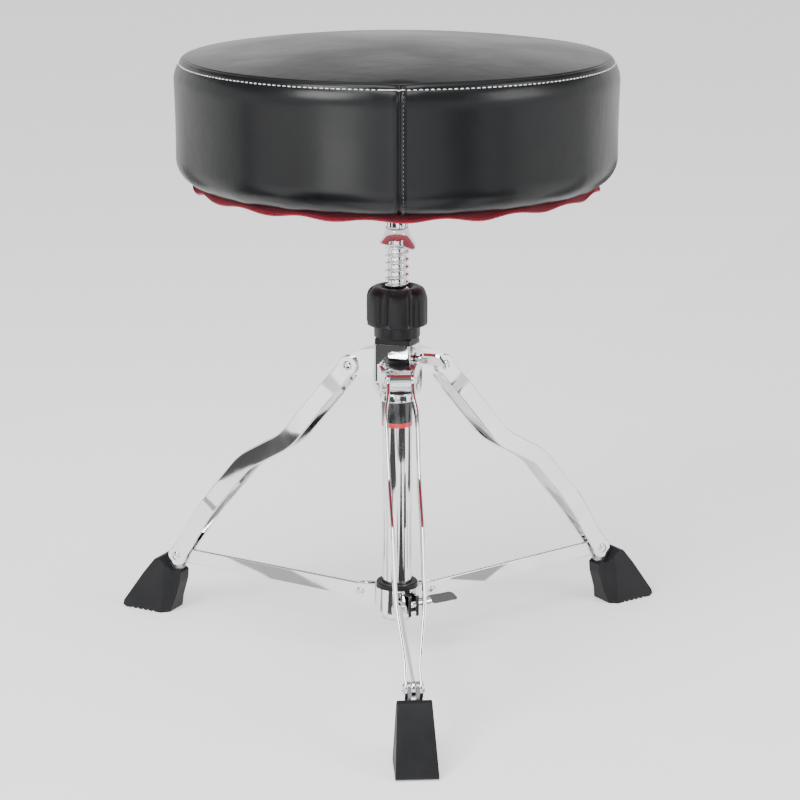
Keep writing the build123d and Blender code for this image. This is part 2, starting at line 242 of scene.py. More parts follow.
def plyFinish():
    g = finish("birchPly", Roughness=0.7)
    grain = g.noise(40, 5, g.place((1, 9, 60)))
    g.feed(g.shader["Base Color"], g.blend(grain, (0.5, 0.36, 0.2), (0.74, 0.58, 0.38)))
    g.feed(g.shader["Normal"], g.bump(grain, 0.0002))
    return g.material


def threadFinish(name, dark, light):
    # twisted sewing thread: fine slanting bands
    g = finish(name, Roughness=0.7, Sheen_Weight=0.3)
    bands = {"Vector": g.place(), "Scale": 90, "Distortion": 1.0}
    twist = g.add("TexWave", {"bands_direction": "DIAGONAL"}, bands)
    g.feed(g.shader["Base Color"], g.blend(twist, dark, light))
    g.feed(g.shader["Normal"], g.bump(twist, 0.0001))
    return g.material


def filmFinish(name, color, worn):
    # printed film wrapped round the tube, under a clear coat
    g = finish(name, Coat_Weight=0.6, Coat_Roughness=0.08)
    rub = g.spread(g.noise(80, 4), 0.5, 0.8)
    g.feed(g.shader["Base Color"], g.blend(rub, color, worn))
    g.feed(g.shader["Roughness"], rub * 0.2 + 0.22)
    g.feed(g.shader["Normal"], g.bump(g.noise(40, 2), 0.0001))
    return g.material


# two clouded colours, roughness, scale and height of the grain, specular level
mouldings = {
    "blackPlastic": ("blackNylon", (0.004, 0.004, 0.005), (0.011, 0.011, 0.013), 0.34, 900, 0.00005, 0.3),
    "whitePlastic": ("acetal", (0.68, 0.68, 0.65), (0.8, 0.8, 0.78), 0.4, 700, 0.00004),
    "rubber": ("footRubber", (0.006, 0.0065, 0.0075), (0.014, 0.0145, 0.016), 0.5, 620, 0.00018, 0.25),
}
finishes = {
    "chrome": chromeFinish("chromePlate"),
    "castChrome": chromeFinish("castChrome", 0.000025),
    "vinyl": vinylFinish(),
    "cloth": shadedClothFinish(),
    "thread": threadFinish("sewingThread", (0.62, 0.62, 0.6), (0.9, 0.9, 0.88)),
    "darkThread": threadFinish("greyThread", (0.12, 0.12, 0.12), (0.3, 0.3, 0.3)),
    "foam": foamFinish(),
    "plywood": plyFinish(),
    **{key: mouldedFinish(*look) for key, look in mouldings.items()},
    "zinc": brushedFinish("zincPlate", (0.52, 0.53, 0.56), (0.34, 0.35, 0.38), 0.24),
    "brass": brushedFinish("turnedBrass", (0.74, 0.56, 0.26), (0.6, 0.44, 0.2), 0.22),
    "blackFilm": filmFinish("blackFilm", (0.012, 0.012, 0.013), (0.04, 0.04, 0.042)),
    "redFilm": filmFinish("redFilm", (0.62, 0.02, 0.03), (0.5, 0.05, 0.06)),
}
print("finishes ready:", len(finishes))

# ---- surfaces on grids


def gridFaces(rows, cols, start):
    # quads between neighbouring rows, closed along each row
    index = np.arange(rows * cols).reshape(rows, cols) + start
    index = np.concatenate([index, index[:, :1]], axis=1)
    corners = [index[:-1, :-1], index[:-1, 1:], index[1:, 1:], index[1:, :-1]]
    return np.stack(corners, axis=-1).reshape(-1, 4)


def surface(name, grids, material, closed=True):
    # mesh of one or more grids of points; rows that shrink to a point become poles
    starts = np.cumsum([0] + [grid.shape[0] * grid.shape[1] for grid in grids])
    faces = [gridFaces(*grid.shape[:2], start) for grid, start in zip(grids, starts)]
    mesh = bpy.data.meshes.new(name)
    points = np.concatenate([grid.reshape(-1, 3) for grid in grids])
    mesh.from_pydata(points.tolist(), [], np.concatenate(faces).tolist())
    return meshPiece(name, mesh, material, 1e-6, closed)


def meshPiece(name, mesh, material, weld=1e-6, closed=True):
    work = bmesh.new()
    work.from_mesh(mesh)
    bmesh.ops.remove_doubles(work, verts=work.verts, dist=weld)
    if closed:
        bmesh.ops.recalc_face_normals(work, faces=work.faces)
    work.to_mesh(mesh)
    work.free()
    mesh.materials.clear()
    mesh.materials.append(material)
    mesh.polygons.foreach_set("use_smooth", [True] * len(mesh.polygons))
    piece = bpy.data.objects.new(name, mesh)
    bpy.context.scene.collection.objects.link(piece)
    return piece


def sharpen(piece, degrees=38):
    piece.data.set_sharp_from_angle(angle=math.radians(degrees))
    return piece


def flatFaces(piece):
    # normals weighted by face area, so that only the rounded edges look round
    weighted = piece.modifiers.new("flatFaces", "WEIGHTED_NORMAL")
    weighted.keep_sharp = True
    return piece


def standFor(piece, body, slot, *nodes):
    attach(piece, body)
    if nodes:
        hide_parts(*nodes)
    return piece


def unit(vector):
    return vector / np.linalg.norm(vector, axis=-1, keepdims=True)


def around(profile, origin=(0, 0, 0), axis=(0, 0, 1), cols=64):
    # profile of (radius, distance along the axis) carried round the axis
    axis = unit(np.array(axis, float))
    side = unit(np.cross(axis, (0, 1, 0) if abs(axis[2]) > 0.5 else (0, 0, 1)))
    other = np.cross(axis, side)
    turn = np.linspace(0, 2 * np.pi, cols, endpoint=False)
    ringShape = np.cos(turn)[:, None] * side + np.sin(turn)[:, None] * other
    profile = np.asarray(profile, float)
    return np.array(origin) + profile[:, None, :1] * ringShape + profile[:, None, 1:] * axis


def arcThrough(first, middle, last, count):
    # points on the circle through three places, from the first to the last
    (ax, ay), (bx, by), (cx, cy) = first, middle, last
    matrix = np.array([[bx - ax, by - ay], [cx - ax, cy - ay]])
    squares = np.array([bx * bx - ax * ax + by * by - ay * ay, cx * cx - ax * ax + cy * cy - ay * ay]) / 2
    centre = np.linalg.solve(matrix, squares)
    spokes = np.array([first, middle, last]) - centre
    angles = np.unwrap(np.arctan2(spokes[:, 1], spokes[:, 0]))
    sweep = np.linspace(angles[0], angles[2], count)
    return centre + np.hypot(*spokes[0]) * np.stack([np.cos(sweep), np.sin(sweep)], -1)


def rounded(corners, radius, steps=5):
    # closed outline with each corner cut by a small quadratic curve
    corners = np.asarray(corners, float)
    before, after = np.roll(corners, 1, 0), np.roll(corners, -1, 0)
    reachBack = np.minimum(radius, np.linalg.norm(before - corners, axis=1) * 0.45)[:, None]
    reachOn = np.minimum(radius, np.linalg.norm(after - corners, axis=1) * 0.45)[:, None]
    start = corners + unit(before - corners) * reachBack
    end = corners + unit(after - corners) * reachOn
    t = np.linspace(0, 1, steps)[None, :, None]
    curve = (1 - t) ** 2 * start[:, None] + 2 * t * (1 - t) * corners[:, None] + t ** 2 * end[:, None]
    return curve.reshape(-1, 2)


def ringGrid(outer, inner, bottom, top, edge=0.0005, cols=96):
    outline = rounded([(inner, bottom), (outer, bottom), (outer, top), (inner, top)], edge)
    return around(np.concatenate([outline, outline[:1]]), cols=cols)


def ringLike(node, bore, material, slot, body="base", edge=0.0005, name=None):
    # turned ring that takes its outside and its height from a CAD node
    low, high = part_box(node)
    piece = surface(name, [ringGrid(high.x, bore, low.z, high.z, edge)], material)
    return standFor(sharpen(piece), body, slot, node)


def copyOf(node, name, body, slot, material, edge=0.0004, segments=2, angle=34):
    # welded copy of a CAD node with its edges broken by a small bevel
    work = bmesh.new()
    work.from_mesh(frame["nodes"][node].data)
    bmesh.ops.remove_doubles(work, verts=work.verts, dist=1e-6)
    bmesh.ops.dissolve_limit(work, angle_limit=math.radians(0.6), verts=work.verts, edges=work.edges)
    mesh = bpy.data.meshes.new(name)
    work.to_mesh(mesh)
    work.free()
    piece = sharpen(meshPiece(name, mesh, material, closed=False), angle)
    bevel = piece.modifiers.new("brokenEdges", "BEVEL")
    bevel.width = edge
    bevel.segments = segments
    bevel.limit_method = "ANGLE"
    bevel.angle_limit = math.radians(angle)
    bevel.harden_normals = True
    bevel.use_clamp_overlap = True
    return standFor(piece, body, slot, node)


# ---- stage, light and camera

stageLook = {
    "floorRadius": 14, "floor": (0.9, 0.9, 0.91), "floorPale": (0.92, 0.92, 0.93), "floorGlow": 0.7,
    "worldBright": 0.95, "worldDark": 0.16, "worldStrength": 1.3, "aim": (0, 0, 0.3),
}


def makeFloor():
    g = finish("paleFloor", Roughness=0.62)
    g.shader["Specular IOR Level"].default_value = 0.25
    g.shader["Emission Color"].default_value = (1, 1, 1, 1)
    g.shader["Emission Strength"].default_value = stageLook["floorGlow"]
    g.feed(g.shader["Base Color"], g.blend(g.noise(1.5, 2), stageLook["floor"], stageLook["floorPale"]))
    radius = stageLook["floorRadius"]
    grid = around([(0, 0), (0.6, 0), (1.2, 0), (3, 0), (radius, 0)], cols=64)
    floor = surface("studioFloor", [grid[:, ::-1]], g.material, closed=False)


def makeWorld():
    # pale dome with a darker belt high up, which the plated parts reflect
    world = bpy.data.worlds.new("studioWorld")
    world.use_nodes = True
    bpy.context.scene.world = world
    g = Graph(world.node_tree)
    height = g.add("SeparateXYZ", inputs={0: g.add("TexCoord", output="Generated")}, output=2)
    bright, dark = stageLook["worldBright"], stageLook["worldDark"]
    stops = [(0.0, bright), (0.3, bright), (0.42, dark), (0.8, dark), (0.92, bright), (1.0, bright * 1.1)]
    belt = g.add("ValToRGB", {"stops": stops}, {0: height})
    background = world.node_tree.nodes["Background"]
    g.feed(background.inputs["Color"], belt)
    background.inputs["Strength"].default_value = stageLook["worldStrength"]


lamps = {
    "keyPanel": {"place": (-1.7, -1.9, 2.3), "size": 1.3, "power": 72},
    "fillPanel": {"place": (2.1, -1.2, 1.6), "size": 1.2, "power": 30},
    "topPanel": {"place": (-0.3, -0.9, 2.8), "size": 1.4, "power": 34},
    "windowPanel": {"place": (-1.0, -1.7, 0.25), "size": 0.7, "power": 5},
}


def makeLamps():
    for name, look in lamps.items():
        lamp = bpy.data.lights.new(name, "AREA")
        lamp.shape = "SQUARE"
        lamp.size = look["size"]
        lamp.energy = look["power"]
        holder = bpy.data.objects.new(name, lamp)
        holder.location = look["place"]
        aim = Vector(stageLook["aim"]) - holder.location
        holder.rotation_euler = aim.to_track_quat("-Z", "Y").to_euler()
        bpy.context.scene.collection.objects.link(holder)


# dark cards on the floor that only the plated and glossy parts see: direction in degrees, then
# the near and far ends, the width and the grey
flags = [
    (-127, 0.5, 1.66, 0.56, 0.012), (-62, 0.7, 4.5, 0.75, 0.02), (-38, 0.7, 3.6, 0.3, 0.03),
    (-27, 0.34, 0.62, 0.12, 0.03), (-147, 0.34, 0.6, 0.12, 0.03), (-172, 0.6, 4.0, 0.4, 0.03),
    (-62, 0.13, 0.7, 0.13, 0.02), (-36, 0.13, 0.7, 0.05, 0.03), (-127, 0.13, 0.5, 0.06, 0.03),
    (-176, 0.13, 0.6, 0.04, 0.4), (-93, 0.7, 1.5, 0.05, 0.05), (-7, 0.21, 0.42, 0.04, 0.4),
    (15, 0.5, 3.0, 0.3, 0.04), (60, 0.9, 3.0, 0.6, 0.1), (130, 0.9, 3.0, 0.5, 0.1),
]


def makeFlags():
    for number, (direction, near, far, width, grey) in enumerate(flags):
        g = finish(f"flagCard{number}", Roughness=1.0)
        g.shader["Base Color"].default_value = (grey, grey, grey, 1)
        turn = math.radians(direction)
        outward = np.array([math.cos(turn), math.sin(turn), 0])
        sideways = np.array([-math.sin(turn), math.cos(turn), 0]) * width / 2
        base = np.array([0, 0, 0.0005])
        corners = [base + outward * near - sideways, base + outward * far - sideways,
                   base + outward * far + sideways, base + outward * near + sideways]
        mesh = bpy.data.meshes.new(f"flag{number}")
        mesh.from_pydata([tuple(corner) for corner in corners], [], [(0, 1, 2, 3)])
        card = meshPiece(f"flag{number}", mesh, g.material, closed=False)
        card.visible_camera = False
        card.visible_diffuse = False
        card.visible_shadow = False


cameraLook = {
    "reach": 2.0757, "height": 0.8199, "pitch": 15.41, "around": 3.27, "lens": 104.25, "shift": 0.00375,
    "sensor": 36,
}


def makeCamera():
    camera = bpy.data.cameras.new("studioCamera")
    camera.lens = cameraLook["lens"]
    camera.sensor_width = cameraLook["sensor"]
    camera.shift_x = cameraLook["shift"]
    holder = bpy.data.objects.new("studioCamera", camera)
    turn = math.radians(cameraLook["around"])
    reach = cameraLook["reach"]
    holder.location = (-reach * math.sin(turn), -reach * math.cos(turn), cameraLook["height"])
    holder.rotation_euler = (math.radians(90 - cameraLook["pitch"]), 0, -turn)
    bpy.context.scene.collection.objects.link(holder)
    bpy.context.scene.camera = holder


makeFloor()
makeWorld()
makeLamps()
makeFlags()
makeCamera()
print("studio ready")

# ---- padded seat

seatLook = {
    "vinyl": 0.0013,
    "cadVinyl": 0.0016,
    "stitchDrop": 0.0066,    # topstitch below the seam, along the surface
    "stitchPitch": 0.005,
    "sideSeamAt": -92.8,     # degrees
    "swell": 0.0022,         # the most that the covers swell out of the cut shape
    "quickSwell": 0.0015,
    "inset": 0.0014,         # how far the cut shape starts inside
    "crownBulge": 0.29,
    "allowance": (0.004, 0.0036),    # seam allowance inwards and down
    "foamInset": 0.0024, "foamClear": 0.0005, "fill": 0.95,
}


def seatSizes():
    topLow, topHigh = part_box("seat_cover_top")
    sideLow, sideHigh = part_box("seat_cover_side")
    return {
        "top": topHigh.z, "seamRadius": topHigh.x, "seamHeight": topLow.z + seatLook["cadVinyl"],
        "radius": sideHigh.x, "under": sideLow.z,
    }


def seatMeridian(size):
    # (radius, height) from the middle of the top, over the seam and down the side, to the underside
    seam = (size["seamRadius"], size["seamHeight"])
    middle = (seam[0] * 0.55, size["top"] - seatLook["crownBulge"] * (size["top"] - seam[1]))
    radius = size["radius"]
    top = arcThrough((0, size["top"]), middle, seam, 200)
    shoulder = arcThrough(seam, (radius - 0.0032, seam[1] - 0.0081), (radius, seam[1] - 0.0185), 60)
    tuck = arcThrough((radius, size["under"] + 0.023), (radius - 0.0044, size["under"] + 0.0084),
                      (radius - 0.016, size["under"]), 60)
    close = np.array([(radius - 0.028, size["under"]), (0, size["under"])])
    line = np.concatenate([top, shoulder[1:], tuck, close])
    steps = np.linalg.norm(np.diff(line, axis=0), axis=1)
    along = np.concatenate([[0], np.cumsum(steps)])
    marks = {"seam": along[len(top) - 1], "hem": along[-2], "end": along[-1]}
    return line, along, marks


def denseAt(values, centre, half, spacing):
    # adds closely spaced values round a centre and drops the loose ones there
    near = np.arange(-half, half + spacing / 2, spacing) + centre
    loose = values[np.abs(values - centre) > half + spacing]
    return np.sort(np.concatenate([loose, near]))


def wave(angle, counts, seed):
    # smooth closed ripple: a few cosines of the given counts per turn with fixed phases
    random = np.random.default_rng(seed)
    phases = random.uniform(0, 2 * np.pi, len(counts))
    weights = random.uniform(0.5, 1, len(counts))
    parts = weights[:, None] * np.cos(np.outer(counts, angle) + phases[:, None])
    return parts.sum(0) / weights.sum()


def bell(distance, width):
    return np.exp(-(distance / width) ** 2)


def gridNormals(points):
    # outward normals of a grid whose rows run down the meridian and whose columns go round
    roundAbout = np.roll(points, -1, 1) - np.roll(points, 1, 1)
    down = np.gradient(points, axis=0)
    normals = np.cross(down, roundAbout)
    size = np.linalg.norm(normals, axis=-1, keepdims=True)
    return np.where(size > 1e-12, normals / np.maximum(size, 1e-12), (0, 0, 1))


def swellPad(points, pinned):
    # cloth simulation of the closed cover under air pressure, held at its seams
    mesh = bpy.data.meshes.new("padCloth")
    rows, cols = points.shape[:2]
    mesh.from_pydata(points.reshape(-1, 3).tolist(), [], gridFaces(rows, cols, 0).tolist())
    cover = bpy.data.objects.new("padCloth", mesh)
    bpy.context.scene.collection.objects.link(cover)
    group = cover.vertex_groups.new(name="sewn")
    group.add(np.flatnonzero(pinned.reshape(-1)).tolist(), 1.0, "REPLACE")
    cloth = cover.modifiers.new("pressure", "CLOTH")
    settings = cloth.settings
    settings.vertex_group_mass = "sewn"
    settings.quality = 4
    settings.mass = 0.25
    settings.tension_stiffness = 18
    settings.compression_stiffness = 18
    settings.shear_stiffness = 8
    settings.bending_stiffness = 2.5
    settings.use_pressure = True
    settings.uniform_pressure_force = 4
    settings.effector_weights.gravity = 0
    cloth.collision_settings.use_collision = False
    scene = bpy.context.scene
    for step in range(1, 21):
        scene.frame_set(step)
    solved = cover.evaluated_get(bpy.context.evaluated_depsgraph_get()).data
    moved = np.zeros(len(solved.vertices) * 3)
    solved.vertices.foreach_get("co", moved)
    bpy.data.objects.remove(cover)
    scene.frame_set(1)
    shift = moved.reshape(points.shape) - points
    length = np.linalg.norm(shift, axis=-1, keepdims=True)
    limit = seatLook["swell"]
    soft = limit * np.tanh(length / limit)     # eases into the limit, so that no flat cap shows
    return points + shift * soft / np.maximum(length, 1e-9)


# metres across the surface; a pair is a height or depth and the half width of its bell
sewnLook = {
    "seamGroove": (0.0007, 0.0009), "stitchChannel": (0.0004, 0.0012), "ridgeBetween": (0.0005, 0.0024),
    "gathers": (0.0002, 0.006), "gathersBelow": 0.004,
    "pucker": (0.0016, 0.006), "puckerBelow": 0.003, "puckerWidth": 0.012,
    "sway": 0.0007, "hemSway": (0.0007, 0.014), "hemSwayAbove": 0.008,
    "lap": [(-0.0015, 0, 0.0011), (0.0009, 0.0034, 0.0018), (0.0004, -0.004, 0.004)],    # the place is second
    "turnedUnder": 0.012,
}


def ridge(look, distance):
    return look[0] * bell(distance, look[1])


def seatRows(marks):
    # distances down the meridian, closer together round the seam and the topstitch
    rim = np.linspace(0.0008, marks["hem"] + sewnLook["turnedUnder"], 92)
    underside = np.linspace(0.03, 0.17, 9) + marks["hem"]
    rows = denseAt(np.concatenate([[0], rim, underside]), marks["seam"], 0.0036, 0.0006)
    rows = denseAt(rows, marks["seam"] + seatLook["stitchDrop"], 0.0024, 0.0008)
    return np.concatenate([rows[rows < marks["end"] - 0.004], [marks["end"]]])


def sewnDepth(rows, turn, across, marks, onSide):
    # sum of bells across the surface: groove at the seam, shallow channel under the topstitch, gathers
    # between and by the hem, and the lap of the side seam
    look = sewnLook
    seam, hem = marks["seam"], marks["hem"]
    stitch = seam + seatLook["stitchDrop"]
    down = rows[:, None]
    gathers = wave(turn, np.array([37, 52, 61, 83, 97]), 4)
    depth = -ridge(look["seamGroove"], down - seam) - ridge(look["stitchChannel"], down - stitch)
    depth = depth + ridge(look["ridgeBetween"], down - (seam + stitch) / 2)
    depth = depth + gathers * ridge(look["gathers"], down - seam - look["gathersBelow"])
    pucker = ridge(look["pucker"], down - seam - look["puckerBelow"])
    depth = depth - pucker * bell(across, look["puckerWidth"])
    depth = depth + look["sway"] * wave(turn, np.array([3, 5, 8, 11]), 7) * onSide[:, None]
    hemWave = wave(turn, np.array([18, 27, 31, 44]), 9)
    depth = depth + hemWave * ridge(look["hemSway"], down - hem + look["hemSwayAbove"])
    belowSeam = np.clip((down - seam - 0.001) / 0.003, 0, 1)
    aboveEdge = np.clip((hem + look["turnedUnder"] - down) / 0.004, 0, 1)
    lap = sum(height * bell(across - place, width) for height, place, width in look["lap"])
    return depth + belowSeam * aboveEdge * lap


def seatSurface():
    size = seatSizes()
    line, along, marks = seatMeridian(size)
    rows = seatRows(marks)
    sideSeam = math.radians(seatLook["sideSeamAt"]) % (2 * np.pi)
    turn = denseAt(np.linspace(0, 2 * np.pi, 264, endpoint=False), sideSeam, 0.045, 0.003)
    radius = np.interp(rows, along, line[:, 0])
    height = np.interp(rows, along, line[:, 1])
    points = np.stack([radius[:, None] * np.cos(turn), radius[:, None] * np.sin(turn),
                       np.repeat(height[:, None], len(turn), 1)], -1)
    seam, hem = marks["seam"], marks["hem"]
    onTop = np.sin(np.clip(rows / seam, 0, 1) * np.pi)
    onSide = np.sin(np.clip((rows - seam) / (hem - seam), 0, 1) * np.pi)
    start = points - gridNormals(points) * (seatLook["inset"] * (0.5 * onTop + onSide))[:, None, None]
    pinned = (np.abs(rows - seam) < 0.0012) | (rows > hem - 0.001)
    points = swellPad(start, np.repeat(pinned[:, None], len(turn), 1))
    across = (turn - sideSeam) * size["radius"]
    depth = sewnDepth(rows, turn, across, marks, onSide)
    points = points + gridNormals(points) * depth[..., None]
    return {"points": points, "normals": gridNormals(points), "rows": rows, "turn": turn,
            "stitch": seam + seatLook["stitchDrop"], "sideSeam": sideSeam, **marks}


def thicken(piece, thickness):
    wall = piece.modifiers.new("wall", "SOLIDIFY")
    wall.thickness = thickness
    wall.offset = -1
    return piece


def stitchGrids(centre, along, normal, length, radius, lift):
    # rows of thread: each one a short bowed tube that dives into the cover at both ends
    t = np.linspace(-1, 1, 7)
    girth = np.sqrt(np.clip(1 - t ** 4, 0, 1)) * radius
    bow = (1 - t ** 2) * lift - radius * 0.35
    angle = np.linspace(0, 2 * np.pi, 6, endpoint=False)
    side = np.cross(normal, along)
    spine = centre[:, None] + along[:, None] * (t * length / 2)[:, None] + normal[:, None] * bow[:, None]
    ringShape = np.cos(angle)[:, None] * side[:, None, None] + np.sin(angle)[:, None] * normal[:, None, None]
    return spine[:, :, None] + ringShape * girth[:, None, None]


def sampleRing(seat, row, angles):
    # points and frames on the cover at one distance down the meridian
    index = int(np.argmin(np.abs(seat["rows"] - row)))
    turn = np.concatenate([seat["turn"], seat["turn"][:1] + 2 * np.pi])
    ringPoints = np.concatenate([seat["points"][index], seat["points"][index][:1]])
    ringNormals = np.concatenate([seat["normals"][index], seat["normals"][index][:1]])
    wrapped = (angles - turn[0]) % (2 * np.pi) + turn[0]
    centre = np.stack([np.interp(wrapped, turn, ringPoints[:, k]) for k in range(3)], -1)
    normal = unit(np.stack([np.interp(wrapped, turn, ringNormals[:, k]) for k in range(3)], -1))
    along = np.stack([-np.sin(angles), np.cos(angles), np.zeros_like(angles)], -1)
    return centre, along, normal


stitchLook = {
    "top": (0.0036, 0.0005, 0.0006),        # length, thread radius, bow
    "side": (0.0016, 0.00018, 0.0002), "sidePitch": 0.0036, "sidePlace": 0.017,     # place in radians
    "sideMargins": (0.006, 0.012),
    "backTack": (-91.6, 0.012, 0.1, 9),     # degrees, first and last offset in radians, count
}


def makeCovers(seat):
    points, rows = seat["points"], seat["rows"]
    seamRow = int(np.argmin(np.abs(rows - seat["seam"])))
    hemRow = int(np.argmin(np.abs(rows - seat["hem"] - sewnLook["turnedUnder"])))
    # both covers turn in at the seam, where their allowances are sewn back to back
    inwards, downwards = seatLook["allowance"]
    tuckIn = points[seamRow] - unit(points[seamRow] * (1, 1, 0)) * inwards - np.array([0, 0, downwards])
    topGrid = np.concatenate([points[:seamRow + 1], tuckIn[None]])
    sideGrid = np.concatenate([tuckIn[None], points[seamRow:hemRow + 1]])
    top = surface("vinylTop", [topGrid], finishes["vinyl"])
    side = surface("vinylSide", [sideGrid], finishes["vinyl"])
    standFor(thicken(top, seatLook["vinyl"]), "seat", "vinyl_top", "seat_cover_top")
    standFor(thicken(side, seatLook["vinyl"]), "seat", "vinyl_side", "seat_cover_side")
    core = points - seat["normals"] * seatLook["foamInset"]
    core[..., 2] = np.maximum(core[..., 2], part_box("seat_foam")[0].z + seatLook["foamClear"])
    foam = standFor(surface("foamCore", [core], finishes["foam"]), "seat", "foam", "seat_foam")


def makeTopstitch(seat):
    count = int(2 * np.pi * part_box("seat_cover_side")[1].x / seatLook["stitchPitch"])
    angles = np.arange(count) * 2 * np.pi / count
    # the start of the run is sewn over again
    at, first, last, extra = stitchLook["backTack"]
    angles = np.concatenate([angles, math.radians(at) - np.linspace(first, last, extra)])
    tubes = stitchGrids(*sampleRing(seat, seat["stitch"], angles), *stitchLook["top"])
    standFor(surface("topstitch", list(tubes), finishes["thread"]), "seat", "vinyl_side")


def makeSideStitch(seat):
    # finer stitches down the lapped side seam
    first, last = stitchLook["sideMargins"]
    downs = np.arange(seat["seam"] + first, seat["hem"] - last, stitchLook["sidePitch"])
    column = int(np.argmin(np.abs(seat["turn"] - seat["sideSeam"] - stitchLook["sidePlace"])))
    centre, normal = (
        np.stack([np.interp(downs, seat["rows"], seat[key][:, column, k]) for k in range(3)], -1)
        for key in ("points", "normals"))
    along = unit(np.gradient(centre, axis=0))
    tubes = stitchGrids(centre, along, unit(normal), *stitchLook["side"])
    standFor(surface("sideSeamStitch", list(tubes), finishes["darkThread"]), "seat", "vinyl_side")


def makeSeat():
    seat = seatSurface()
    makeCovers(seat)
    makeTopstitch(seat)
    makeSideStitch(seat)


hemLook = {
    "scallops": 18, "drop": 0.0015, "swing": 0.001, "lip": 0.0013, "raise": 0.002, "thickness": 0.0008,
    "hole": 0.021, "folds": 0.0004, "allowance": 0.006,
}


def makeCloth():
    # cloth stretched under the seat; its hem hangs in shallow scallops with a rolled lip
    low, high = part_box("seat_dust_cloth")
    flatZ, outer = high.z - 0.0012, high.x
    turn = np.linspace(0, 2 * np.pi, 432, endpoint=False)
    phase = hemLook["scallops"] * turn + 0.7 * wave(turn, np.array([2, 3, 5]), 12)
    ripple = np.cos(phase) * (1 + 0.35 * wave(turn, np.array([4, 7]), 14))
    lipAngle = np.linspace(np.pi * 0.35, -np.pi * 1.15, 11)
    lip = hemLook["lip"]
    flat = np.linspace(hemLook["hole"], 0.168, 22)
    lipRadius = outer - lip - 0.0002 - lip * np.cos(lipAngle)
    lipHeight = low.z + hemLook["raise"] + lip * np.sin(lipAngle)
    fall = np.array([0.0002, 0.001, 0.0024])
    radius = np.concatenate([flat, [0.174, 0.1775, 0.18], lipRadius])
    height = np.concatenate([np.full(len(flat), flatZ), flatZ - fall, lipHeight])
    edge = np.clip((radius - 0.16) / 0.02, 0, 1)[:, None] ** 2
    folds = hemLook["folds"] * wave(turn, np.array([9, 14, 18, 23]), 15)
    r = radius[:, None] + edge * hemLook["swing"] * np.sin(phase)
    z = height[:, None] + edge * hemLook["drop"] * ripple
    z = z + (1 - edge) * folds * (radius > 0.07)[:, None]
    grid = np.stack([r * np.cos(turn), r * np.sin(turn), z], -1)
    cloth = surface("dustCloth", [grid], finishes["cloth"], closed=False)
    thicken(cloth, hemLook["thickness"])
    standFor(cloth, "seat", "red_cloth", "seat_dust_cloth")


makeSeat()
makeCloth()
print("seat covers, stitches and cloth ready")

# ---- under the seat

copyOf("seat_board", "seatBoard", "seat", "plywood", finishes["plywood"], 0.001)
copyOf("seat_bracket", "seatBracket", "seat", "chrome", finishes["chrome"], 0.0006)
copyOf("seat_bracket_screws", "bracketScrews", "seat", "zinc", finishes["zinc"], 0.0007, 3)
copyOf("seat_retaining_screws", "retainingScrews", "seat", "zinc", finishes["zinc"], 0.0003)
print("seat bracket ready")

# ---- threaded spindle

spindleLook = {
    "root": 0.0084, "pitch": 0.007, "rowsPerTurn": 18, "stub": 0.0097, "groove": 0.0084, "grooveHalf": 0.0026,
    "ridgeHalf": 0.27, "flankWidth": 0.19, "belowBell": 0.0148,
}


def makeSpindle():
    # right-handed thread: the radius is a rounded ridge of the fraction of (height / pitch - turn)
    low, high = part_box("spindle")
    crest, root, pitch = high.x, spindleLook["root"], spindleLook["pitch"]
    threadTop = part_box("spindle_bell")[1].z - spindleLook["belowBell"]
    rows = np.linspace(low.z, threadTop, int((threadTop - low.z) / pitch * spindleLook["rowsPerTurn"]))
    turn = np.linspace(0, 2 * np.pi, 64, endpoint=False)
    phase = (rows[:, None] / pitch - turn / (2 * np.pi)) % 1
    flank = np.clip((spindleLook["ridgeHalf"] - np.abs(phase - 0.5)) / spindleLook["flankWidth"], 0, 1)
    eased = flank * flank * (3 - 2 * flank)
    fade = np.clip((rows - low.z - 0.001) / 0.004, 0, 1) * np.clip((threadTop - rows) / 0.003, 0, 1)
    radius = root + (crest - root) * eased * fade[:, None]
    thread = np.stack([radius * np.cos(turn), radius * np.sin(turn), np.repeat(rows[:, None], 64, 1)], -1)
    stub, grooveAt = spindleLook["stub"], joints["seat_swivel"]["pos_m"][2]
    half = spindleLook["grooveHalf"]
    neck = np.array([
        (stub - 0.0006, threadTop + 0.0002), (stub, threadTop + 0.001), (stub, grooveAt - half - 0.0004),
        (spindleLook["groove"], grooveAt - half), (spindleLook["groove"], grooveAt + half),
        (stub, grooveAt + half + 0.0004), (stub, high.z - 0.001), (stub - 0.001, high.z), (0, high.z),
    ])
    foot = around([(0, low.z), (root * 0.6, low.z)])
    piece = surface("threadedSpindle", [np.concatenate([foot, thread, around(neck)])], finishes["chrome"])
    standFor(sharpen(piece, 50), "spindle", "chrome", "spindle")


bellLook = {"wingAngles": (-40, 140), "wingWidth": 26, "wingOut": 0.0027, "wingDown": 0.0047, "fit": 0.00005}


